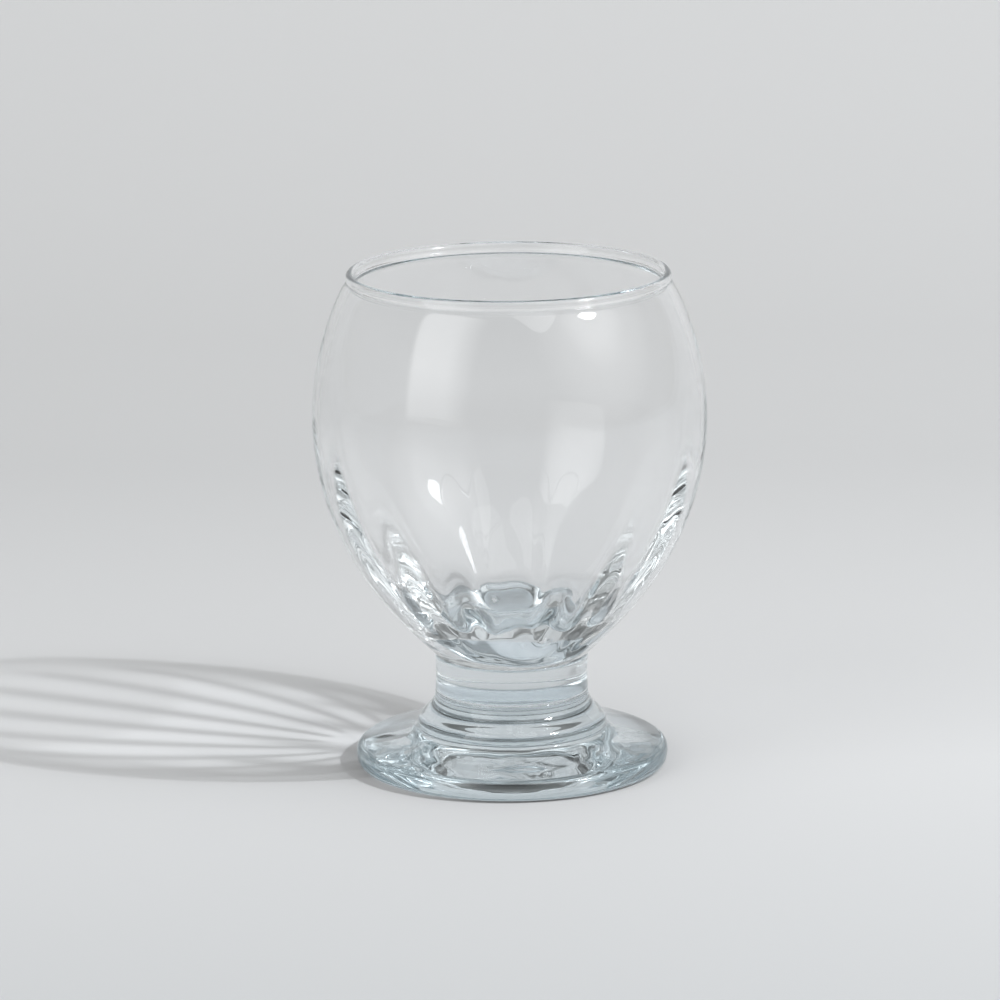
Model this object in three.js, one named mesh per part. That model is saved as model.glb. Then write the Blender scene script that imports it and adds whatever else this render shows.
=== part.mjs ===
// Stemmed drinking glass: a ball-shaped bowl with soft optic ribs inside, a short
// thick stem and a stepped round foot. Millimetres, +Z up, standing on z = 0.
import * as THREE from "three";

// Foot
const FOOT_RADIUS = 35.3; // widest, at the ridge around the edge
const RIDGE_HEIGHT = 2.7; // from the table to that ridge
const REST_INSET = 1.5; // from the ridge in to the flat ring the glass stands on
const REST_WIDTH = 8.8; // width of the flat ring
const HOLLOW_DEPTH = 1.6; // rise of the underside inside the ring
const EDGE_ROUND = 2.3; // height of the rounding above the ridge
const EDGE_INSET = 1.9; // how far that rounding comes in
const PLATE_RISE = 2.1; // from the rounded edge up to the boss
const BOSS_FILLET = 3.2; // hollow rounding between plate and boss
const BOSS_OVERHANG = 4.1; // how far the boss stands out past the stem
const BOSS_SIDE = 2.1; // from the plate up to the widest part of the boss
const FLARE_HEIGHT = 7.8; // from there up to the stem, in one swung curve
const BOSS_PULL = 3; // curve handle above the widest part
const FLARE_PULL = 4; // curve handle below the stem

// Stem
const STEM_RADIUS = 17.3;
const STEM_HEIGHT = 8.4; // between the two fire-welded joints
const STEM_WAIST = 0.3; // pull of the side curve towards a waist
const WELD_GROOVE = 0.25; // fine groove left around a weld

// Bowl, outside
const BOWL_HEIGHT = 87.7; // weld to the top of the rim
const NECK_OUT = 2.8; // hollow rounding from the stem out into the bowl
const NECK_UP = 3;
const NECK_ANGLE = THREE.MathUtils.degToRad(46); // lean of the wall above the neck
const BELLY_RADIUS = 44.3;
const BELLY_RISE = 54.9; // weld to the widest part
const NECK_PULL = 14.3; // curve handles of the outside, neck to belly
const BELLY_PULL_DOWN = 25.5;
const BELLY_PULL_UP = 15; // curve handles of the outside, belly to rim
const RIM_PULL = 1.8;
const RIM_ANGLE = THREE.MathUtils.degToRad(63); // inward lean of the wall under the rim

// Rim bead
const RIM_RADIUS = 36.4;
const BEAD_WIDTH = 2;
const BEAD_HEIGHT = 2.5;
const BEAD_START = THREE.MathUtils.degToRad(-53); // where the bead leaves the outside
const BEAD_END = THREE.MathUtils.degToRad(210); // where it runs into the inside

// Bowl, inside
const RIM_WALL = 1.8; // wall thickness under the rim
const BELLY_WALL = 2; // and at the belly
const HIP_WALL = 5; // and low on the bowl
const HIP_RISE = 17.6; // weld to where HIP_WALL is measured, on the outside
const WALL_GROWTH = 1.7; // how late the wall thickens on its way down
const BASE_THICKNESS = 3.6; // solid glass between weld and cavity

// Optic ribs on the inside
const RIB_COUNT = 16;
const RIB_DEPTH = 0.35; // at their strongest, low on the bowl
const RIB_CENTRE_GAP = 9; // the ribs start this far from the axis
const RIB_RUN_IN = 21; // and are full from here
const RIB_FULL_RISE = 20; // weld to where the ribs begin to fade
const RIB_FADE = 56; // height over which they fade out

// Finish
const BOWL_COLOUR = 0xe2eaec;
const STEM_COLOUR = 0xd6e2e6;
const FOOT_COLOUR = 0xcfdde2;
const GLASS_ROUGHNESS = 0.04;

// Smoothness
const RIB_STEPS = 6; // facets around the bowl for each rib
const ROUND_STEPS = 56; // facets around stem and foot
const LOWER_STEPS = 9; // rows up the lower wall
const UPPER_STEPS = 6; // rows up the upper wall
const FLOOR_STEPS = 7; // rows across the floor of the cavity
const BEAD_STEPS = 7;
const CURVE_STEPS = 6; // rows in each curve of stem and foot
const SHARE_STEP = 0.0001; // how closely a place along a curve is found

const FOOT_EDGE_TOP = RIDGE_HEIGHT + EDGE_ROUND;
const PLATE_TOP = FOOT_EDGE_TOP + PLATE_RISE;
const BOSS_HEIGHT = PLATE_TOP + BOSS_SIDE;
const FOOT_WELD = BOSS_HEIGHT + FLARE_HEIGHT;
const BOWL_WELD = FOOT_WELD + STEM_HEIGHT;
const WELD_RADIUS = STEM_RADIUS - WELD_GROOVE;

// Outlines are lists of (radius, height) that start and end on the axis.
function footOutline() {
  const restRadius = FOOT_RADIUS - REST_INSET;
  const hollowRadius = restRadius - REST_WIDTH;
  const bossRadius = STEM_RADIUS + BOSS_OVERHANG;
  const plateOuter = FOOT_RADIUS - EDGE_INSET;
  const plateInner = bossRadius + BOSS_FILLET;
  const plateSlope = PLATE_RISE / (plateOuter - plateInner);
  const outline = new THREE.Path();
  outline.moveTo(0, HOLLOW_DEPTH);
  outline.quadraticCurveTo(hollowRadius / 2, HOLLOW_DEPTH, hollowRadius, 0);
  outline.lineTo(restRadius, 0);
  outline.quadraticCurveTo(FOOT_RADIUS, 0, FOOT_RADIUS, RIDGE_HEIGHT);
  outline.quadraticCurveTo(
    FOOT_RADIUS, FOOT_EDGE_TOP - plateSlope * EDGE_INSET,
    plateOuter, FOOT_EDGE_TOP,
  );
  outline.lineTo(plateInner, PLATE_TOP);
  outline.quadraticCurveTo(
    bossRadius, PLATE_TOP + plateSlope * BOSS_FILLET,
    bossRadius, BOSS_HEIGHT,
  );
  outline.bezierCurveTo(
    bossRadius, BOSS_HEIGHT + BOSS_PULL,
    STEM_RADIUS, FOOT_WELD - WELD_GROOVE - FLARE_PULL,
    STEM_RADIUS, FOOT_WELD - WELD_GROOVE,
  );
  outline.lineTo(WELD_RADIUS, FOOT_WELD);
  outline.lineTo(0, FOOT_WELD);
  return outline.getPoints(CURVE_STEPS);
}

function stemOutline() {
  const outline = new THREE.Path();
  outline.moveTo(0, FOOT_WELD);
  outline.lineTo(WELD_RADIUS, FOOT_WELD);
  outline.lineTo(STEM_RADIUS, FOOT_WELD + WELD_GROOVE);
  outline.quadraticCurveTo(
    STEM_RADIUS - STEM_WAIST, FOOT_WELD + STEM_HEIGHT / 2,
    STEM_RADIUS, BOWL_WELD - WELD_GROOVE,
  );
  outline.lineTo(WELD_RADIUS, BOWL_WELD);
  outline.lineTo(0, BOWL_WELD);
  return outline.getPoints(CURVE_STEPS);
}

function beadCurve() {
  return new THREE.EllipseCurve(
    RIM_RADIUS - BEAD_WIDTH / 2, BOWL_WELD + BOWL_HEIGHT - BEAD_HEIGHT / 2,
    BEAD_WIDTH / 2, BEAD_HEIGHT / 2,
    BEAD_START, BEAD_END,
  );
}

// The outside of the bowl above its neck, in two curves that meet at the belly.
function outsideCurves() {
  const neck = new THREE.Vector2(STEM_RADIUS + NECK_OUT, BOWL_WELD + NECK_UP);
  const belly = new THREE.Vector2(BELLY_RADIUS, BOWL_WELD + BELLY_RISE);
  const rim = beadCurve().getPoint(0);
  const lower = new THREE.CubicBezierCurve(
    neck,
    new THREE.Vector2(
      neck.x + NECK_PULL * Math.sin(NECK_ANGLE),
      neck.y + NECK_PULL * Math.cos(NECK_ANGLE),
    ),
    new THREE.Vector2(belly.x, belly.y - BELLY_PULL_DOWN),
    belly,
  );
  const upper = new THREE.CubicBezierCurve(
    belly,
    new THREE.Vector2(belly.x, belly.y + BELLY_PULL_UP),
    new THREE.Vector2(
      rim.x + RIM_PULL * Math.sin(RIM_ANGLE),
      rim.y - RIM_PULL * Math.cos(RIM_ANGLE),
    ),
    rim,
  );
  return { lower, upper };
}

function wallThickness(height) {
  const aboveBelly = height - BOWL_WELD - BELLY_RISE;
  if (aboveBelly >= 0) {
    return THREE.MathUtils.lerp(BELLY_WALL, RIM_WALL, aboveBelly / (BOWL_HEIGHT - BELLY_RISE));
  }
  const way = -aboveBelly / (BELLY_RISE - HIP_RISE);
  return BELLY_WALL + (HIP_WALL - BELLY_WALL) * way ** WALL_GROWTH;
}

// The point of the cavity's wall that faces a point of the outside.
function insidePoint(curve, t) {
  const outside = curve.getPoint(t);
  const along = curve.getTangent(t);
  const thickness = wallThickness(outside.y);
  return new THREE.Vector2(
    outside.x - along.y * thickness,
    outside.y + along.x * thickness,
  );
}

// The share of the lower curve at which the outside reaches the hip.
function hipShare(lower) {
  let low = 0;
  let high = 1;
  while (high - low > SHARE_STEP) {
    const middle = (low + high) / 2;
    if (lower.getPoint(middle).y < BOWL_WELD + HIP_RISE) {
      low = middle;
    } else {
      high = middle;
    }
  }
  return low;
}

function bowlOutside({ lower, upper }) {
  const neck = new THREE.Path();
  neck.moveTo(0, BOWL_WELD);
  neck.lineTo(WELD_RADIUS, BOWL_WELD);
  neck.lineTo(STEM_RADIUS, BOWL_WELD + WELD_GROOVE);
  neck.quadraticCurveTo(
    STEM_RADIUS, BOWL_WELD + NECK_UP - NECK_OUT / Math.tan(NECK_ANGLE),
    STEM_RADIUS + NECK_OUT, BOWL_WELD + NECK_UP,
  );
  return [
    ...neck.getPoints(CURVE_STEPS),
    ...lower.getPoints(LOWER_STEPS).slice(1),
    ...upper.getPoints(UPPER_STEPS).slice(1),
    ...beadCurve().getPoints(BEAD_STEPS).slice(1),
  ];
}

// From under the bead down the cavity's wall and over its floor to the axis.
function bowlInside({ lower, upper }) {
  const wall = [];
  for (let i = UPPER_STEPS; i > 0; i -= 1) {
    wall.push(insidePoint(upper, i / UPPER_STEPS));
  }
  const hip = hipShare(lower);
  for (let i = LOWER_STEPS; i >= 0; i -= 1) {
    wall.push(insidePoint(lower, THREE.MathUtils.lerp(hip, 1, i / LOWER_STEPS)));
  }
  const floorHeight = BOWL_WELD + BASE_THICKNESS;
  const edge = wall[wall.length - 1];
  const along = lower.getTangent(hip);
  const drop = (edge.y - floorHeight) / along.y;
  const floor = new THREE.QuadraticBezierCurve(
    edge,
    new THREE.Vector2(edge.x - along.x * drop, floorHeight),
    new THREE.Vector2(0, floorHeight),
  );
  return [...wall, ...floor.getPoints(FLOOR_STEPS).slice(1)];
}

function ribDepth(point) {
  const rise = point.y - BOWL_WELD - RIB_FULL_RISE;
  const fade = 1 - THREE.MathUtils.smoothstep(rise, 0, RIB_FADE);
  const start = THREE.MathUtils.smoothstep(point.x, RIB_CENTRE_GAP, RIB_RUN_IN);
  return RIB_DEPTH * fade * start;
}

// Raises the ribs on the inside of the turned bowl, square to its wall.
function raiseRibs(geometry, inside, firstRow, rows, steps) {
  const position = geometry.attributes.position;
  for (let j = 1; j < inside.length - 1; j += 1) {
    const along = inside[j + 1].clone().sub(inside[j - 1]).normalize();
    const depth = ribDepth(inside[j]);
    for (let i = 0; i <= steps; i += 1) {
      const angle = (i / steps) * 2 * Math.PI;
      const rib = depth * (1 + Math.cos(RIB_COUNT * angle)) / 2;
      const radius = inside[j].x + along.y * rib;
      const height = inside[j].y - along.x * rib;
      position.setXYZ(
        i * rows + firstRow + j,
        radius * Math.sin(angle), height, radius * Math.cos(angle),
      );
    }
  }
  geometry.computeVertexNormals();
}

function glassMesh(name, geometry, colour) {
  const material = new THREE.MeshStandardMaterial({
    color: colour,
    roughness: GLASS_ROUGHNESS,
    metalness: 0,
  });
  const mesh = new THREE.Mesh(geometry.rotateX(Math.PI / 2), material);
  mesh.name = name;
  return mesh;
}

function makeFoot() {
  return glassMesh("foot", new THREE.LatheGeometry(footOutline(), ROUND_STEPS), FOOT_COLOUR);
}

function makeStem() {
  return glassMesh("stem", new THREE.LatheGeometry(stemOutline(), ROUND_STEPS), STEM_COLOUR);
}

function makeBowl() {
  const curves = outsideCurves();
  const outside = bowlOutside(curves);
  const inside = bowlInside(curves);
  const steps = RIB_COUNT * RIB_STEPS;
  const rows = outside.length + inside.length;
  const geometry = new THREE.LatheGeometry([...outside, ...inside], steps);
  raiseRibs(geometry, inside, outside.length, rows, steps);
  return glassMesh("bowl", geometry, BOWL_COLOUR);
}

const glass = new THREE.Group();
glass.name = "stemmed_glass";
glass.add(makeFoot(), makeStem(), makeBowl());
export default glass;
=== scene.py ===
import math

import bmesh
import bpy
from mathutils import Matrix, Vector, noise
from mathutils.geometry import interpolate_bezier


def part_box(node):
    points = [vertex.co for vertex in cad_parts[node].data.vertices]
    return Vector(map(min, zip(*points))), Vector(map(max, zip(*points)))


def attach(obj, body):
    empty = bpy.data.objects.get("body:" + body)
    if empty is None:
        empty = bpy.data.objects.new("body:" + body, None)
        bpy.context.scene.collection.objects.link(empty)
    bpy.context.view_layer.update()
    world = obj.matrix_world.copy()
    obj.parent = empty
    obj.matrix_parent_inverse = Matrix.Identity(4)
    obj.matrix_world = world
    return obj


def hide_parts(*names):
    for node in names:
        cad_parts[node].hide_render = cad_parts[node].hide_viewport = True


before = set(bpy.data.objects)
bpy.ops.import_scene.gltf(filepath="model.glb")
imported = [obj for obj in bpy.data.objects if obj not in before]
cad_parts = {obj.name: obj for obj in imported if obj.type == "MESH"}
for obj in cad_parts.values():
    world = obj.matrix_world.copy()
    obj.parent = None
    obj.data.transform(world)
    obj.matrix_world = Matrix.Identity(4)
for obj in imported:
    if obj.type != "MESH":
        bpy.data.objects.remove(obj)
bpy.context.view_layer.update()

bl_info = {
    "name": "Stemmed Glass",
    "version": (1, 0, 0),
    "blender": (4, 5, 0),
    "location": "3D View > Sidebar > Stemmed Glass",
    "description": "A clear ball-shaped goblet with optic ribs, set on a pale sweep",
    "category": "Add Mesh",
}

BOWL_LOW, BOWL_HIGH = (Vector(corner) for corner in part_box("bowl"))
STEM_LOW, STEM_HIGH = (Vector(corner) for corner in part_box("stem"))
FOOT_HIGH = Vector(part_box("foot")[1])
TURN = 2 * math.pi
MERGE_GAP = 1e-6
# Facing fused faces keep this gap, so that light leaves one piece before it enters the next.
WELD_GAP = 4e-6
# A face whose normal is this close to upright counts as level.
LEVEL = 0.999
# Place of the swirl in its noise, and the floor's folds: across, back, height and spread.
SWIRL_PLACE = Vector((3.3, 1.7, 0.4))
FOLDS = (
    (-0.002, 0.0065, 0.004, 0.0045),
    (0.0115, 0.007, 0.0016, 0.003),
    (-0.0135, -0.002, 0.0012, 0.003),
)
# How soon the shadow's stripes and the ripples reach their strength as the ribs rise.
STRIPE_GAIN = 4
RIPPLE_GAIN = 2
# The tint of the surface ends at this many times the height of the upper weld.
CLEAR_RISE = 1.3
# Light that passes to the shadow, by how far a face turns away from it: thin wall, solid glass.
THIN_SHADE = ((0, 0.99), (0.32, 0.97), (0.54, 0.75), (0.77, 0.42), (1, 0.17))
SOLID_SHADE = ((0, 1.27), (0.75, 1.2), (0.9, 0.65), (1, 0.25))
# Sockets of a colour mix node.
MIX_FIRST, MIX_SECOND, MIX_RESULT = 6, 7, 2
# Sine of the elevation at which each part of the room ends or starts.
WALL_END, CEILING_START, CEILING_END, TOP_START = 0.3, 0.75, 0.88, 0.94
# Strength of the glow by the cosine of the angle from its middle.
GLOW_SPREAD = ((0, 0), (0.76, 0), (0.93, 0.4), (0.985, 1), (1, 1))
# Strength of the panel of light across and up its face.
PANEL_ACROSS = ((0, 0), (0.08, 1), (0.6, 1), (1, 0))
PANEL_UP = ((0, 0.4), (0.35, 1), (1, 1))
GLASS_BOUNCES = 64
SHADOW_BOUNCES = 32
SENSOR_WIDTH = 36
CLIP_END = 20


def length(name, default, description):
    return bpy.props.FloatProperty(
        name=name, description=description, default=default, unit="LENGTH", precision=5
    )


def angle(name, degrees, description):
    return bpy.props.FloatProperty(
        name=name, description=description, default=math.radians(degrees), subtype="ANGLE"
    )


def colour(name, default, description):
    return bpy.props.FloatVectorProperty(
        name=name, description=description, default=default, subtype="COLOR", min=0, max=1
    )


def number(name, default, description):
    return bpy.props.FloatProperty(name=name, description=description, default=default)


def power(name, default, description):
    return bpy.props.FloatProperty(name=name, description=description, default=default, unit="POWER")


def count(name, default, description):
    return bpy.props.IntProperty(name=name, description=description, default=default, min=1)


class BowlSizes(bpy.types.PropertyGroup):
    """Sizes of the blown bowl"""

    neck_out: length("Neck out", 0.0028, "How far the neck rounding comes out of the stem")
    neck_up: length("Neck up", 0.003, "Height of the neck rounding")
    neck_angle: angle("Neck angle", 46, "Lean of the wall above the neck")
    neck_pull: length("Neck pull", 0.0143, "Curve handle above the neck")
    belly_rise: length("Belly rise", 0.0549, "From the weld up to the widest part")
    belly_pull_down: length("Belly pull down", 0.0255, "Curve handle below the belly")
    belly_pull_up: length("Belly pull up", 0.015, "Curve handle above the belly")
    rim_radius: length("Rim radius", 0.0364, "Outside radius of the rim bead")
    rim_pull: length("Rim pull", 0.0018, "Curve handle under the rim")
    rim_angle: angle("Rim angle", 63, "Inward lean of the wall under the rim")
    bead_width: length("Bead width", 0.002, "Thickness of the rim bead")
    bead_height: length("Bead height", 0.0025, "Height of the rim bead")
    bead_start: angle("Bead start", -53, "Where the bead leaves the outside")
    bead_end: angle("Bead end", 210, "Where the bead runs into the inside")
    rim_wall: length("Rim wall", 0.0018, "Wall thickness under the rim")
    belly_wall: length("Belly wall", 0.002, "Wall thickness at the belly")
    hip_wall: length("Hip wall", 0.005, "Wall thickness low on the bowl")
    hip_rise: length("Hip rise", 0.0176, "From the weld up to where the hip wall is measured")
    wall_growth: number("Wall growth", 1.7, "How late the wall thickens on its way down")
    base_thickness: length("Base thickness", 0.0036, "Solid glass under the cavity")
    rib_count: count("Ribs", 16, "Optic ribs around the inside")
    rib_depth: length("Rib depth", 0.00035, "Height of the ribs where they are strongest")
    rib_rounding: number("Rib rounding", 1.0, "Above 1 the ribs are narrower than the flutes")
    rib_centre_gap: length("Rib centre gap", 0.009, "The ribs start this far from the axis")
    rib_run_in: length("Rib run in", 0.021, "The ribs are full from this radius")
    rib_full_rise: length("Rib full rise", 0.02, "From the weld up to where the ribs fade")
    rib_fade: length("Rib fade", 0.056, "Height over which the ribs fade out")
    ripple: length("Ripple", 0.00018, "Unevenness of the blown inside")
    ripple_width: length("Ripple width", 0.013, "Distance between ripples")
    swirl: length("Swirl", 0.0018, "Unevenness of the cavity's floor")
    swirl_width: length("Swirl width", 0.013, "Distance between the swells of the floor")


class BaseSizes(bpy.types.PropertyGroup):
    """Sizes of the pressed stem and foot"""

    weld_groove: length("Weld groove", 0.00025, "Fine groove left around a weld")
    stem_waist: length("Stem waist", 0.0003, "Pull of the stem's side towards a waist")
    ridge_height: length("Ridge height", 0.0027, "From the table to the ridge of the edge")
    rest_inset: length("Rest inset", 0.0015, "From the ridge in to the flat ring below")
    rest_width: length("Rest width", 0.0088, "Width of the flat ring below")
    hollow_depth: length("Hollow depth", 0.0016, "Rise of the underside inside the ring")
    edge_round: length("Edge round", 0.0023, "Height of the rounding above the ridge")
    edge_inset: length("Edge inset", 0.0019, "How far that rounding comes in")
    plate_rise: length("Plate rise", 0.0021, "From the rounded edge up to the boss")
    boss_fillet: length("Boss fillet", 0.0032, "Hollow rounding between plate and boss")
    boss_overhang: length("Boss overhang", 0.0041, "How far the boss stands out of the stem")
    boss_side: length("Boss side", 0.0021, "From the plate up to the widest part of the boss")
    boss_pull: length("Boss pull", 0.003, "Curve handle above the widest part of the boss")
    flare_pull: length("Flare pull", 0.004, "Curve handle below the stem")
    wave: length("Wave", 0.0005, "Unevenness of the plate around the boss")
    wave_width: length("Wave width", 0.004, "Distance between the swells of the plate")
    wave_reach: length("Wave reach", 0.0045, "How far those swells spread from the foot of the boss")
    shade_width: length("Shade width", 0.003, "Width of the edge that casts the darkest shadow")
    plate_shade: number("Plate shade", 0.1, "Share of that shadow under the rest of the plate")


class GlassLooks(bpy.types.PropertyGroup):
    """Finish of the glass"""

    clear_tint: colour("Clear tint", (0.996, 0.998, 0.999), "Tint of the thin upper wall")
    thick_tint: colour("Thick tint", (0.982, 0.989, 0.992), "Tint of the thick base and stem")
    edge_tint: colour("Edge tint", (0.82, 0.888, 0.917), "Tint towards the edge of the foot")
    depth_tint: colour("Depth tint", (0.66, 0.747, 0.78), "Hue that thick glass takes on")
    blown_strength: number("Blown strength", 6, "How soon the blown bowl takes that hue, in each metre")
    pressed_strength: number("Pressed strength", 13, "How soon the stem and foot take it, in each metre")
    bend: number("Refraction", 1.51, "Index of refraction of soda-lime glass")
    stripe_bright: number("Bright stripe", 1.17, "Light that a rib gathers in the shadow")
    stripe_dark: number("Dark stripe", 0.24, "Light left in the shadow behind a flute")
    solid_rise: length("Solid rise", 0.006, "From the weld up to where the shadow is a thin wall's")


class StageLooks(bpy.types.PropertyGroup):
    """Camera, light and backdrop"""

    # Painted shade: the paper is darker before the glass and darkest in the bend of the sweep, where
    # less light falls; under the glass and up the wall it keeps its own pale colour.
    front_painted_shade: colour("Front", (0.653, 0.668, 0.678), "Paper before the glass")
    floor_tint: colour("Floor", (0.781, 0.791, 0.799), "Paper under the glass")
    bend_painted_shade: colour("Bend", (0.679, 0.686, 0.69), "Paper in the bend of the sweep")
    wall_tint: colour("Wall", (0.77, 0.777, 0.782), "Paper of the upright part")
    # These two mark where that painted shade before the glass and in the bend is deepest.
    front_start: length("Front start", -0.18, "Where the paper before the glass is darkest")
    bend_start: length("Bend start", 0.42, "Where the paper is darkest, behind the glass")
    wall_start: length("Wall start", 1, "Where the paper has the wall's tint, behind the glass")
    sweep_width: length("Sweep width", 2.2, "Width of the paper")
    sweep_front: length("Sweep front", 3, "From the glass to the front edge of the paper")
    sweep_back: length("Sweep back", 0.75, "From the glass to the corner of the paper")
    sweep_top_back: length("Sweep top", 1.002, "From the glass back to the paper's upper edge")
    sweep_height: length("Sweep height", 0.7, "Height of the paper's upper edge")
    sweep_bend: length("Sweep bend", 0.45, "From the paper's corner to where its bend starts")
    air_gap: length("Air gap", 0.0003, "Between the foot's ring and the paper")
    room_pale: colour("Room pale", (0.5, 0.498, 0.49), "Walls of the room")
    room_dark: colour("Room dark", (0.06, 0.06, 0.059), "Ceiling of the room")
    room_top: colour("Room top", (0.5, 0.498, 0.49), "Light in the middle of the ceiling")
    glow: number("Glow", 1.8, "Light spread about the key light")
    glow_turn: angle("Glow turn", 66, "Bearing of that glow, from the camera to the right")
    glow_rise: angle("Glow rise", 36, "Elevation of that glow")
    camera_distance: length("Camera distance", 1.1995, "Along the floor, from the axis")
    camera_height: length("Camera height", 0.3417, "Above the floor")
    camera_tilt: angle("Camera tilt", 13.19, "Downward tilt")
    camera_roll: angle("Camera roll", -0.5, "Turn about the line of sight")
    camera_turn: angle("Camera turn", 0.11, "Turn of the camera to the left")
    lens_share: number("Lens", 5.477, "Focal length as a share of the picture's width")
    key_tint: colour("Key tint", (0.96, 0.975, 1.0), "Colour of the key light")
    key_turn: angle("Key turn", 65, "Key light's bearing, from the camera to the right")
    key_rise: angle("Key rise", 42.5, "Key light's elevation")
    key_distance: length("Key distance", 1.4, "From the glass to the key light")
    key_size: length("Key size", 0.03, "Diameter of the key light's bright core")
    key_face: length("Key face", 0.24, "Diameter of the key light's diffuser")
    key_depth: length("Key depth", 0.02, "From the bright core back to the diffuser")
    key_face_power: power("Key face power", 4, "Light from the diffuser")
    key_power: power("Key power", 6.2, "Light from the bright core")
    panel_turn: angle("Panel turn", -44, "Bearing of the panel of light, from the camera to the right")
    panel_rise: angle("Panel rise", 27, "Elevation of the panel's middle")
    panel_distance: length("Panel distance", 1.4, "From the glass to the panel")
    panel_width: length("Panel width", 1.05, "Width of the panel")
    panel_height: length("Panel height", 1.35, "Height of the panel")
    panel_power: power("Panel power", 8.2, "Light from the panel")
    spill_turn: angle("Spill turn", 24, "Bearing of the small fill light")
    spill_rise: angle("Spill rise", 58, "Elevation of the small fill light")
    spill_width: length("Spill width", 0.55, "Width of the small fill light")
    spill_height: length("Spill height", 1.1, "Height of the small fill light")
    spill_power: power("Spill power", 1.5, "Light from the small fill light")


# Outlines are lists of points (radius, height) from the axis back to the axis.
def bend_points(start, corner, end, steps):
    """A curve that leaves both of its ends towards one corner."""
    start, corner, end = Vector(start), Vector(corner), Vector(end)
    from_start, from_end = start.lerp(corner, 2 / 3), end.lerp(corner, 2 / 3)
    return interpolate_bezier(start, from_start, from_end, end, steps + 1)


class BowlOutline:
    """The two sides of the bowl's wall, worked out from its sizes"""

    def __init__(self, sizes, groove):
        self.sizes = sizes
        self.groove = groove
        self.weld = BOWL_LOW.z
        self.top = BOWL_HIGH.z
        self.stem_radius = STEM_HIGH.x
        self.belly_radius = BOWL_HIGH.x
        self.belly_height = self.weld + sizes.belly_rise

    def bead(self, steps):
        s = self.sizes
        centre = Vector((s.rim_radius - s.bead_width / 2, self.top - s.bead_height / 2))
        points = []
        for i in range(steps + 1):
            a = s.bead_start + (s.bead_end - s.bead_start) * i / steps
            points.append(centre + Vector((math.cos(a) * s.bead_width, math.sin(a) * s.bead_height)) / 2)
        return points

    def outside(self, lower_steps, upper_steps):
        s = self.sizes
        neck = Vector((self.stem_radius + s.neck_out, self.weld + s.neck_up))
        belly = Vector((self.belly_radius, self.belly_height))
        rim = self.bead(1)[0]
        lean = Vector((math.sin(s.neck_angle), math.cos(s.neck_angle)))
        shoulder = Vector((math.sin(s.rim_angle), -math.cos(s.rim_angle)))
        up = Vector((0, 1))
        lower = interpolate_bezier(
            neck, neck + lean * s.neck_pull, belly - up * s.belly_pull_down, belly, lower_steps + 1
        )
        upper = interpolate_bezier(
            belly, belly + up * s.belly_pull_up, rim + shoulder * s.rim_pull, rim, upper_steps + 1
        )
        return lower + upper[1:]

    def neck(self, steps):
        s = self.sizes
        weld_radius = self.stem_radius - self.groove
        corner_height = self.weld + s.neck_up - s.neck_out / math.tan(s.neck_angle)
        curve = bend_points(
            (self.stem_radius, self.weld + self.groove),
            (self.stem_radius, corner_height),
            (self.stem_radius + s.neck_out, self.weld + s.neck_up),
            steps,
        )
        face = self.weld + WELD_GAP
        return [Vector((0, face)), Vector((weld_radius, face))] + curve

    def wall(self, height):
        s = self.sizes
        above = height - self.belly_height
        if above >= 0:
            return s.belly_wall + (s.rim_wall - s.belly_wall) * above / (self.top - self.belly_height)
        way = -above / (s.belly_rise - s.hip_rise)
        return s.belly_wall + (s.hip_wall - s.belly_wall) * way ** s.wall_growth

    def inside(self, outside, floor_steps):
        """From under the bead down the cavity and over its floor to the axis."""
        s = self.sizes
        hip = self.weld + s.hip_rise
        points = []
        for i in range(len(outside) - 1, 0, -1):
            here = outside[i]
            if here.y < hip:
                break
            ahead = outside[min(i + 1, len(outside) - 1)]
            along = (ahead - outside[i - 1]).normalized()
            points.append(here + Vector((-along.y, along.x)) * self.wall(here.y))
        floor = self.weld + s.base_thickness
        edge = points[-1]
        along = (points[-1] - points[-2]).normalized()
        corner = edge + along * (edge.y - floor) / -along.y
        return points + bend_points(edge, corner, (0, floor), floor_steps)[1:]

    def rib_depth(self, point):
        s = self.sizes
        fade = 1 - smooth_step((point.y - self.weld - s.rib_full_rise) / s.rib_fade)
        start = smooth_step((point.x - s.rib_centre_gap) / (s.rib_run_in - s.rib_centre_gap))
        return s.rib_depth * fade * start


def smooth_step(share):
    share = min(max(share, 0), 1)
    return share * share * (3 - 2 * share)


def turn_outline(outline, steps, offsets=None):
    """Spins an outline about the axis. Offsets, one per point, stay with their points."""
    bm = bmesh.new()
    layer = bm.verts.layers.float_vector.new("offset")
    verts = []
    for i, point in enumerate(outline):
        vert = bm.verts.new((0, -point.x, point.y))
        if offsets:
            vert[layer] = offsets[i]
        verts.append(vert)
    edges = [bm.edges.new(pair) for pair in zip(verts, verts[1:])]
    bmesh.ops.spin(
        bm, geom=verts + edges, cent=(0, 0, 0), axis=(0, 0, 1), angle=TURN, steps=steps, use_merge=True
    )
    bmesh.ops.remove_doubles(bm, verts=bm.verts, dist=MERGE_GAP)
    bmesh.ops.recalc_face_normals(bm, faces=bm.faces)
    return bm


def floor_rise(place, sizes):
    """Folds and swirl that the hot glass left on the cavity's floor."""
    floor_height = BOWL_LOW.z + sizes.base_thickness
    floor = 1 - smooth_step((place.z - floor_height) / sizes.swirl_width)
    rise = noise.noise(place / sizes.swirl_width + SWIRL_PLACE) * sizes.swirl * floor
    for across, back, height, spread in FOLDS:
        away = (place.xy - Vector((across, back))).length / spread
        rise += height * math.exp(-away * away / 2) * floor
    return rise


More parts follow.
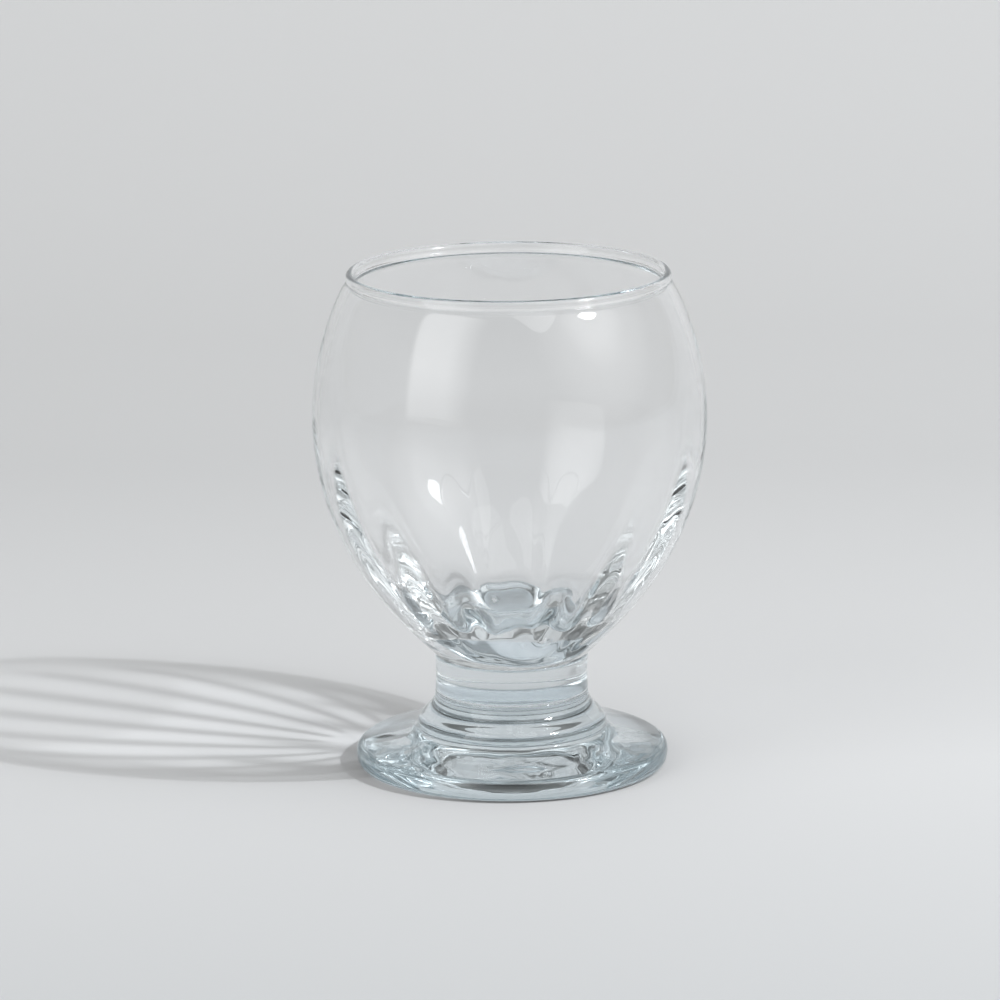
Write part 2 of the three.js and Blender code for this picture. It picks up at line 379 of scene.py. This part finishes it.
def shape_inside(bm, sizes):
    """Raises the ribs and the ripples of the blown inside, square to the wall."""
    layer = bm.verts.layers.float_vector["offset"]
    # The flute layer holds painted shadow: lamp light that passes a flute reaches the paper dimmed, and
    # between flutes brightened.
    flute = bm.verts.layers.float.new("flute")
    for vert in bm.verts:
        rib_depth, across, up = vert[layer]
        if across == 0 and up == 0:
            continue
        bearing = math.atan2(vert.co.x, -vert.co.y)
        crest = (1 + math.cos(sizes.rib_count * bearing)) / 2
        strength = rib_depth / sizes.rib_depth
        vert[flute] = (1 - crest) ** 2 * min(1, strength * STRIPE_GAIN)
        ripple = noise.noise(vert.co / sizes.ripple_width) * sizes.ripple
        ripple *= min(1, strength * RIPPLE_GAIN)
        raise_by = rib_depth * crest ** sizes.rib_rounding + ripple + floor_rise(vert.co, sizes)
        outward = Vector((vert.co.x, vert.co.y, 0)).normalized()
        vert.co += (outward * across + Vector((0, 0, up))) * raise_by
    bm.verts.layers.float_vector.remove(layer)


def finish_piece(bm, name, weld_heights, material):
    """Makes the piece from its bmesh, with its fused faces marked."""
    weld = bm.faces.layers.float.new("weld")
    for face in bm.faces:
        face.smooth = True
        height = face.calc_center_median().z
        if abs(face.normal.z) > LEVEL and any(abs(height - z) < MERGE_GAP for z in weld_heights):
            face[weld] = 1
            face.smooth = False
    for edge in bm.edges:
        edge.smooth = len({face[weld] for face in edge.link_faces}) == 1
    mesh = bpy.data.meshes.new(name)
    bm.to_mesh(mesh)
    bm.free()
    mesh.materials.append(material)
    piece = bpy.data.objects.new(name, mesh)
    bpy.context.scene.collection.objects.link(piece)
    return piece


def dress(piece, node):
    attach(piece, "root")
    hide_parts(node)


# The next functions add nodes to a material, a light or the world, and return the socket they end in.
def nodes_of(material):
    material.use_nodes = True
    material.node_tree.nodes.clear()
    return material.node_tree.nodes, material.node_tree.links


def axis_of(nodes, links, place, axis):
    split = nodes.new("ShaderNodeSeparateXYZ")
    links.new(place, split.inputs["Vector"])
    return split.outputs[axis]


def object_axis(nodes, links, axis):
    place = nodes.new("ShaderNodeTexCoord")
    return axis_of(nodes, links, place.outputs["Object"], axis)


def attribute(nodes, name):
    node = nodes.new("ShaderNodeAttribute")
    node.attribute_name = name
    return node.outputs["Fac"]


def share_between(nodes, links, value, low, high):
    share = nodes.new("ShaderNodeMapRange")
    share.inputs["From Min"].default_value = low
    share.inputs["From Max"].default_value = high
    links.new(value, share.inputs["Value"])
    return share.outputs["Result"]


def colour_ramp(nodes, links, value, stops):
    ramp = nodes.new("ShaderNodeValToRGB")
    elements = ramp.color_ramp.elements
    for share, tint in stops[1:-1]:
        elements.new(share).color = (*tint, 1)
    for element, (share, tint) in ((elements[0], stops[0]), (elements[-1], stops[-1])):
        element.position = share
        element.color = (*tint, 1)
    links.new(value, ramp.inputs["Fac"])
    return ramp.outputs["Color"]


def grey_ramp(nodes, links, value, stops):
    return colour_ramp(nodes, links, value, [(share, (grey, grey, grey)) for share, grey in stops])


def vector_math(nodes, links, operation, first, second):
    both = nodes.new("ShaderNodeVectorMath")
    both.operation = operation
    links.new(first, both.inputs[0])
    links.new(second, both.inputs["Scale" if operation == "SCALE" else 1])
    return both.outputs["Vector"]


def colour_mix(nodes, links, share, first):
    """A mix node whose second colour is still to be given."""
    mix = nodes.new("ShaderNodeMix")
    mix.data_type = "RGBA"
    links.new(share, mix.inputs["Factor"])
    links.new(first, mix.inputs[MIX_FIRST])
    return mix


def shader_mix(nodes, links, share, first, second):
    mix = nodes.new("ShaderNodeMixShader")
    links.new(share, mix.inputs["Fac"])
    links.new(first, mix.inputs[1])
    links.new(second, mix.inputs[2])
    return mix.outputs["Shader"]


def glass_surface(nodes, links, looks, height):
    """Smooth clear glass with a faint tint that grows towards the edge of the foot."""
    rise = share_between(nodes, links, height, 0, BOWL_HIGH.z)
    tint = colour_ramp(
        nodes, links, rise, [
            (0, looks.edge_tint),
            (STEM_LOW.z / BOWL_HIGH.z, looks.thick_tint),
            (CLEAR_RISE * BOWL_LOW.z / BOWL_HIGH.z, looks.clear_tint),
        ]
    )
    shader = nodes.new("ShaderNodeBsdfPrincipled")
    shader.inputs["Transmission Weight"].default_value = 1
    shader.inputs["IOR"].default_value = looks.bend
    shader.inputs["Roughness"].default_value = 0
    links.new(tint, shader.inputs["Base Color"])
    return shader.outputs["BSDF"]


def glass_shadow(nodes, links, looks, height):
    """What glass lets through to the paper: less past the edge of a wall and behind a flute."""
    facing = nodes.new("ShaderNodeLayerWeight").outputs["Facing"]
    thin = grey_ramp(nodes, links, facing, THIN_SHADE)
    solid = grey_ramp(nodes, links, facing, SOLID_SHADE)
    thinness = share_between(nodes, links, height, STEM_HIGH.z, BOWL_LOW.z + looks.solid_rise)
    edge = colour_mix(nodes, links, thinness, solid)
    links.new(thin, edge.inputs[MIX_SECOND])
    stripe = nodes.new("ShaderNodeMapRange")
    stripe.inputs["To Min"].default_value = looks.stripe_bright
    stripe.inputs["To Max"].default_value = looks.stripe_dark
    links.new(attribute(nodes, "flute"), stripe.inputs["Value"])
    passed = vector_math(nodes, links, "SCALE", edge.outputs[MIX_RESULT], stripe.outputs["Result"])
    shade = nodes.new("ShaderNodeBsdfTransparent")
    links.new(passed, shade.inputs["Color"])
    return shade.outputs["BSDF"]


def clear_glass(name, strength):
    """Soda-lime glass that takes on a hue with depth, and lets light straight through a fused face."""
    found = bpy.data.materials.get(name)
    if found:
        return found
    looks = bpy.context.scene.glass_looks
    material = bpy.data.materials.new(name)
    nodes, links = nodes_of(material)
    height = object_axis(nodes, links, "Z")
    surface = glass_surface(nodes, links, looks, height)
    shadow = glass_shadow(nodes, links, looks, height)
    ray = nodes.new("ShaderNodeLightPath")
    seen = shader_mix(nodes, links, ray.outputs["Is Shadow Ray"], surface, shadow)
    joint = nodes.new("ShaderNodeBsdfTransparent")
    fused = shader_mix(nodes, links, attribute(nodes, "weld"), seen, joint.outputs["BSDF"])
    inside = nodes.new("ShaderNodeVolumeAbsorption")
    inside.inputs["Color"].default_value = (*looks.depth_tint, 1)
    inside.inputs["Density"].default_value = strength
    output = nodes.new("ShaderNodeOutputMaterial")
    links.new(fused, output.inputs["Surface"])
    links.new(inside.outputs["Volume"], output.inputs["Volume"])
    return material


def blown_glass():
    return clear_glass("blown_glass", bpy.context.scene.glass_looks.blown_strength)


def pressed_glass():
    return clear_glass("pressed_glass", bpy.context.scene.glass_looks.pressed_strength)


class MakeBowl(bpy.types.Operator):
    """Make the bowl: a spun wall with a rim bead, and optic ribs raised on its inside"""

    bl_idname = "stemmed_glass.bowl"
    bl_label = "Bowl"

    around: count("Steps around", 480, "Facets around the bowl")
    lower: count("Lower rows", 44, "Rows up the lower wall")
    upper: count("Upper rows", 26, "Rows up the upper wall")
    floor: count("Floor rows", 30, "Rows across the floor of the cavity")
    neck: count("Neck rows", 8, "Rows up the rounding of the neck")
    bead: count("Bead rows", 18, "Rows around the rim bead")

    def execute(self, context):
        sizes = context.scene.bowl_sizes
        shape = BowlOutline(sizes, context.scene.base_sizes.weld_groove)
        outside = shape.outside(self.lower, self.upper)
        outer_half = shape.neck(self.neck) + outside[1:] + shape.bead(self.bead)[1:]
        inner_half = shape.inside(outside, self.floor)
        offsets = [Vector()] * len(outer_half)
        for i, point in enumerate(inner_half):
            behind = inner_half[max(i - 1, 0)]
            ahead = inner_half[min(i + 1, len(inner_half) - 1)]
            along = (ahead - behind).normalized()
            offsets.append(Vector((shape.rib_depth(point), along.y, -along.x)))
        offsets[-1] = Vector()
        bm = turn_outline(outer_half + inner_half, self.around, offsets)
        shape_inside(bm, sizes)
        dress(finish_piece(bm, "glass_bowl", [BOWL_LOW.z + WELD_GAP], blown_glass()), "bowl")
        return {"FINISHED"}


class MakeStem(bpy.types.Operator):
    """Make the short stem between its two welds"""

    bl_idname = "stemmed_glass.stem"
    bl_label = "Stem"

    around: count("Steps around", 192, "Facets around the stem")
    rows: count("Side rows", 16, "Rows up the side of the stem")

    def execute(self, context):
        s = context.scene.base_sizes
        radius = STEM_HIGH.x
        low, high = STEM_LOW.z, STEM_HIGH.z
        side = bend_points(
            (radius, low + s.weld_groove),
            (radius - s.stem_waist, (low + high) / 2),
            (radius, high - s.weld_groove),
            self.rows,
        )
        outline = [Vector((0, low)), Vector((radius - s.weld_groove, low))]
        outline += side
        outline += [Vector((radius - s.weld_groove, high)), Vector((0, high))]
        bm = turn_outline(outline, self.around)
        dress(finish_piece(bm, "glass_stem", [low, high], pressed_glass()), "stem")
        return {"FINISHED"}


class MakeFoot(bpy.types.Operator):
    """Make the pressed foot: hollow underside, rounded edge, sloping plate, boss and flare"""

    bl_idname = "stemmed_glass.foot"
    bl_label = "Foot"

    around: count("Steps around", 256, "Facets around the foot")
    rows: count("Rows in a curve", 14, "Rows in each curve of the outline")

    def execute(self, context):
        sizes = context.scene.base_sizes
        bm = turn_outline(self.outline(sizes), self.around)
        boss_foot = STEM_HIGH.x + sizes.boss_overhang + sizes.boss_fillet
        self.mark_shade(bm, sizes, boss_foot)
        self.wave_plate(bm, sizes, boss_foot)
        dress(finish_piece(bm, "glass_foot", [FOOT_HIGH.z - WELD_GAP], pressed_glass()), "foot")
        return {"FINISHED"}

    def mark_shade(self, bm, sizes, boss_foot):
        """Marks the edge and, more faintly, the plate with painted shadow: the lamps' light through them
        reaches the paper dimmed.
        """
        # On the foot the layer named flute holds only painted shadow; the foot has no flutes.
        flute = bm.verts.layers.float.new("flute")
        for vert in bm.verts:
            radius = vert.co.xy.length
            edge = smooth_step(1 - (FOOT_HIGH.x - radius) / sizes.shade_width)
            plate = smooth_step((radius - boss_foot) / sizes.shade_width + 1)
            vert[flute] = max(edge, plate * sizes.plate_shade)

    def wave_plate(self, bm, sizes, boss_foot):
        """Dents the upper side unevenly around the foot of the boss."""
        bm.normal_update()
        for vert in bm.verts:
            if vert.normal.z > 0 and vert.co.z < STEM_LOW.z:
                away = abs(vert.co.xy.length - boss_foot) / sizes.wave_reach
                dent = (noise.noise(vert.co / sizes.wave_width) - 1) / 2
                vert.co += vert.normal * dent * sizes.wave * (1 - smooth_step(away))

    def outline(self, s):
        radius, weld = FOOT_HIGH.x, FOOT_HIGH.z
        stem_radius = STEM_HIGH.x
        rest = radius - s.rest_inset
        hollow = rest - s.rest_width
        boss = stem_radius + s.boss_overhang
        plate_outer = radius - s.edge_inset
        plate_inner = boss + s.boss_fillet
        slope = s.plate_rise / (plate_outer - plate_inner)
        edge_top = s.ridge_height + s.edge_round
        edge_corner = edge_top - slope * s.edge_inset
        plate_top = edge_top + s.plate_rise
        boss_height = plate_top + s.boss_side
        bends = [
            ((0, s.hollow_depth), (hollow / 2, s.hollow_depth), (hollow, 0)),
            ((rest, 0), (radius, 0), (radius, s.ridge_height)),
            ((radius, s.ridge_height), (radius, edge_corner), (plate_outer, edge_top)),
            ((plate_inner, plate_top), (boss, plate_top + slope * s.boss_fillet), (boss, boss_height)),
        ]
        points = []
        for start, corner, end in bends:
            curve = bend_points(start, corner, end, self.rows)
            joined = points and (points[-1] - curve[0]).length < MERGE_GAP
            points += curve[1:] if joined else curve
        neck = Vector((stem_radius, weld - s.weld_groove))
        widest = Vector((boss, boss_height))
        up = Vector((0, 1))
        points += interpolate_bezier(
            widest, widest + up * s.boss_pull, neck - up * s.flare_pull, neck, 2 * self.rows
        )[1:]
        face = weld - WELD_GAP
        return points + [Vector((stem_radius - s.weld_groove, face)), Vector((0, face))]


def aim(turn, rise):
    """Direction from the glass, by bearing from the camera to the right and by elevation."""
    return Vector((math.cos(rise) * math.sin(turn), -math.cos(rise) * math.cos(turn), math.sin(rise)))


def sweep_paper(looks):
    """Matt paper, its own pale colour under the glass and up the sweep, with painted shade before the
    glass and in the bend.
    """
    material = bpy.data.materials.new("sweep_paper")
    nodes, links = nodes_of(material)
    back = object_axis(nodes, links, "Y")
    way = share_between(nodes, links, back, looks.front_start, looks.wall_start)
    reach = looks.wall_start - looks.front_start
    # Paper colour with painted shade before the glass and in the bend, by how far back it lies.
    tint = colour_ramp(
        nodes, links, way, [
            (0, looks.front_painted_shade),
            (-looks.front_start / reach, looks.floor_tint),
            ((looks.bend_start - looks.front_start) / reach, looks.bend_painted_shade),
            (1, looks.wall_tint),
        ]
    )
    shader = nodes.new("ShaderNodeBsdfDiffuse")
    links.new(tint, shader.inputs["Color"])
    output = nodes.new("ShaderNodeOutputMaterial")
    links.new(shader.outputs["BSDF"], output.inputs["Surface"])
    return material


class MakeStage(bpy.types.Operator):
    """Make the paper sweep, the lights and the camera"""

    bl_idname = "stemmed_glass.stage"
    bl_label = "Stage"

    bend_rows: count("Bend rows", 32, "Rows in the bend of the sweep")

    def execute(self, context):
        looks = context.scene.stage_looks
        self.make_sweep(context, looks)
        self.make_room(context, looks)
        self.make_lamps(context, looks)
        self.make_camera(context, looks)
        context.scene.view_settings.view_transform = "Standard"
        cycles = context.scene.cycles
        cycles.max_bounces = GLASS_BOUNCES
        cycles.transmission_bounces = GLASS_BOUNCES
        cycles.glossy_bounces = GLASS_BOUNCES
        cycles.transparent_max_bounces = SHADOW_BOUNCES
        cycles.caustics_refractive = False
        cycles.caustics_reflective = False
        return {"FINISHED"}

    def make_sweep(self, context, looks):
        bm = bmesh.new()
        side = looks.sweep_width / 2
        corners = [
            (-side, -looks.sweep_front, -looks.air_gap),
            (-side, looks.sweep_back, -looks.air_gap),
            (-side, looks.sweep_top_back, looks.sweep_height),
        ]
        verts = [bm.verts.new(corner) for corner in corners]
        edges = [bm.edges.new(pair) for pair in zip(verts, verts[1:])]
        pushed = bmesh.ops.extrude_edge_only(bm, edges=edges)["geom"]
        moved = [item for item in pushed if isinstance(item, bmesh.types.BMVert)]
        bmesh.ops.translate(bm, verts=moved, vec=(looks.sweep_width, 0, 0))
        fold = [e for e in bm.edges if all(abs(v.co.y - looks.sweep_back) < MERGE_GAP for v in e.verts)]
        bmesh.ops.bevel(
            bm, geom=fold, offset=looks.sweep_bend, affect="EDGES", segments=self.bend_rows,
            profile=0.5, material=-1,
        )
        bmesh.ops.recalc_face_normals(bm, faces=bm.faces)
        for face in bm.faces:
            face.smooth = True
        mesh = bpy.data.meshes.new("sweep")
        bm.to_mesh(mesh)
        bm.free()
        mesh.materials.append(sweep_paper(looks))
        sweep = bpy.data.objects.new("sweep", mesh)
        context.scene.collection.objects.link(sweep)

    def make_room(self, context, looks):
        """Pale walls, a dark ceiling with a light in its middle, and a glow about the key light."""
        world = bpy.data.worlds.new("studio")
        context.scene.world = world
        world.use_nodes = True
        nodes, links = world.node_tree.nodes, world.node_tree.links
        place = nodes.new("ShaderNodeTexCoord").outputs["Generated"]
        walls = colour_ramp(
            nodes, links, axis_of(nodes, links, place, "Z"), [
                (0, looks.room_pale),
                (WALL_END, looks.room_pale),
                (CEILING_START, looks.room_dark),
                (CEILING_END, looks.room_dark),
                (TOP_START, looks.room_top),
                (1, looks.room_top),
            ]
        )
        near = nodes.new("ShaderNodeVectorMath")
        near.operation = "DOT_PRODUCT"
        near.inputs[1].default_value = aim(looks.glow_turn, looks.glow_rise)
        links.new(place, near.inputs[0])
        spread = [(share, looks.glow * strength) for share, strength in GLOW_SPREAD]
        glow = grey_ramp(nodes, links, near.outputs["Value"], spread)
        room = vector_math(nodes, links, "ADD", walls, glow)
        ray = nodes.new("ShaderNodeLightPath")
        seen = colour_mix(nodes, links, ray.outputs["Is Camera Ray"], room)
        seen.inputs[MIX_SECOND].default_value = (*looks.wall_tint, 1)
        links.new(seen.outputs[MIX_RESULT], nodes["Background"].inputs["Color"])

    def make_lamps(self, context, looks):
        target = Vector((0, 0, BOWL_HIGH.z / 2))
        beam = aim(looks.key_turn, looks.key_rise)
        key = self.lamp(context, "key", target + beam * looks.key_distance, target)
        face_place = target + beam * (looks.key_distance + looks.key_depth)
        face = self.lamp(context, "key_face", face_place, target)
        for light, size, energy in (
            (key, looks.key_size, looks.key_power),
            (face, looks.key_face, looks.key_face_power),
        ):
            light.color = looks.key_tint
            light.shape = "DISK"
            light.size = size
            light.energy = energy
        beam = aim(looks.panel_turn, looks.panel_rise)
        panel = self.lamp(context, "panel", target + beam * looks.panel_distance, target)
        panel.shape = "RECTANGLE"
        panel.size = looks.panel_width
        panel.size_y = looks.panel_height
        panel.energy = looks.panel_power
        self.soften(panel)
        beam = aim(looks.spill_turn, looks.spill_rise)
        spill = self.lamp(context, "spill", target + beam * looks.key_distance, target)
        spill.shape = "ELLIPSE"
        spill.size = looks.spill_width
        spill.size_y = looks.spill_height
        spill.energy = looks.spill_power

    def soften(self, light):
        """Fades a panel of light towards its left edge and its foot."""
        light.use_nodes = True
        nodes, links = light.node_tree.nodes, light.node_tree.links
        place = nodes.new("ShaderNodeNewGeometry").outputs["Parametric"]
        across = grey_ramp(nodes, links, axis_of(nodes, links, place, "X"), PANEL_ACROSS)
        up = grey_ramp(nodes, links, axis_of(nodes, links, place, "Y"), PANEL_UP)
        both = vector_math(nodes, links, "MULTIPLY", across, up)
        links.new(both, nodes["Emission"].inputs["Color"])

    def lamp(self, context, name, place, target):
        light = bpy.data.lights.new(name, "AREA")
        lamp = bpy.data.objects.new(name, light)
        context.scene.collection.objects.link(lamp)
        lamp.location = place
        lamp.rotation_euler = (target - place).to_track_quat("-Z", "Y").to_euler()
        return light

    def make_camera(self, context, looks):
        data = bpy.data.cameras.new("camera")
        data.sensor_width = SENSOR_WIDTH
        data.lens = data.sensor_width * looks.lens_share
        data.clip_end = CLIP_END
        camera = bpy.data.objects.new("camera", data)
        context.scene.collection.objects.link(camera)
        turn = (
            Matrix.Rotation(looks.camera_turn, 4, "Z")
            @ Matrix.Rotation(math.pi / 2 - looks.camera_tilt, 4, "X")
            @ Matrix.Rotation(looks.camera_roll, 4, "Z")
        )
        stand = Matrix.Translation((0, -looks.camera_distance, looks.camera_height))
        camera.matrix_world = stand @ turn
        context.scene.camera = camera


class GlassPanel(bpy.types.Panel):
    """Buttons and sizes of the stemmed glass"""

    bl_idname = "VIEW3D_PT_stemmed_glass"
    bl_label = "Stemmed Glass"
    bl_space_type = "VIEW_3D"
    bl_region_type = "UI"
    bl_category = "Stemmed Glass"

    def draw(self, context):
        column = self.layout.column()
        for operator in OPERATORS:
            column.operator(operator.bl_idname)
        for group in GROUPS:
            settings = getattr(context.scene, group)
            for name in settings.bl_rna.properties.keys():
                if name not in {"rna_type", "name"}:
                    column.prop(settings, name)


GROUPS = {
    "bowl_sizes": BowlSizes,
    "base_sizes": BaseSizes,
    "glass_looks": GlassLooks,
    "stage_looks": StageLooks,
}
OPERATORS = (MakeFoot, MakeStem, MakeBowl, MakeStage)


def register():
    for item in (*GROUPS.values(), *OPERATORS, GlassPanel):
        bpy.utils.register_class(item)
    for name, group in GROUPS.items():
        setattr(bpy.types.Scene, name, bpy.props.PointerProperty(type=group))


def unregister():
    for name in GROUPS:
        delattr(bpy.types.Scene, name)
    for item in (GlassPanel, *reversed(OPERATORS), *reversed(GROUPS.values())):
        bpy.utils.unregister_class(item)


def main():
    register()
    bpy.ops.stemmed_glass.foot()
    bpy.ops.stemmed_glass.stem()
    bpy.ops.stemmed_glass.bowl()
    bpy.ops.stemmed_glass.stage()


if __name__ == "__main__":
    main()
